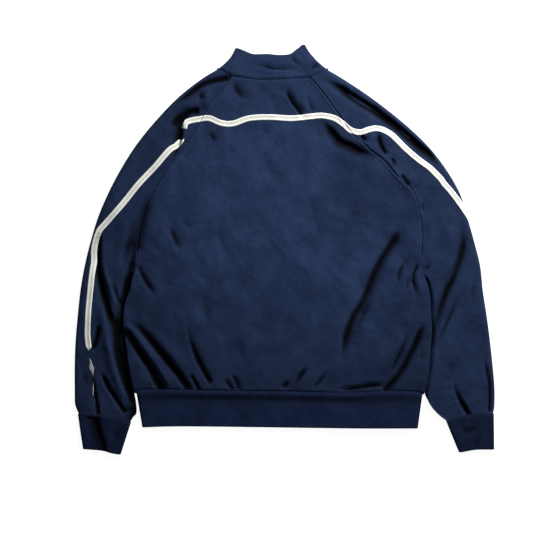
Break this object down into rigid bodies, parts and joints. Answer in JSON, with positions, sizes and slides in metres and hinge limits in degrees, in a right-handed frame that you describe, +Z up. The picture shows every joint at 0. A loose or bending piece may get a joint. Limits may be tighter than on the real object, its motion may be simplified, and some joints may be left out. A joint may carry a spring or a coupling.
{
  "type": "track jacket",
  "caption": "Navy track jacket laid flat on its front: raglan sleeves, stand collar, hem band, cuffs, a front zip, and off-white tape across the upper back and down the sleeves.",
  "frame": {"origin": "middle of the jacket's overall box, on the surface it lies on", "axes": "+Z up from the surface, through the front to the back of the jacket; +Y from the hem to the collar; +X across the shoulders towards its right sleeve"},
  "size_m": [0.7966, 0.7753, 0.0094],
  "materials": {
    "cloth": "matte knit with a soft sheen",
    "rib": "matte fine rib knit",
    "tape": "matte woven tape",
    "zip_tape": "matte woven zip tape with a moulded coil",
    "metal": "satin"
  },
  "bodies": {
    "jacket": {"back_panel": "cloth", "front_left": "cloth", "front_right": "cloth", "sleeve_left": "cloth", "sleeve_right": "cloth", "cuff_left": "rib", "cuff_right": "rib", "hem_band": "rib", "collar": "cloth", "stripe_back": "tape", "stripe_sleeve_left": "tape", "stripe_sleeve_right": "tape", "stripe_sleeve_right_under": "tape", "zip": "zip_tape", "zip_slider": "metal"},
    "pull": {"zip_pull": "metal"}
  },
  "joints": [
    {"name": "pull_swing", "type": "hinge", "parent": "jacket", "child": "pull", "pos_m": [-0.0221, 0.2931, 0.0016], "axis": [1, 0, 0], "range_deg": [0, 120]}
  ]
}
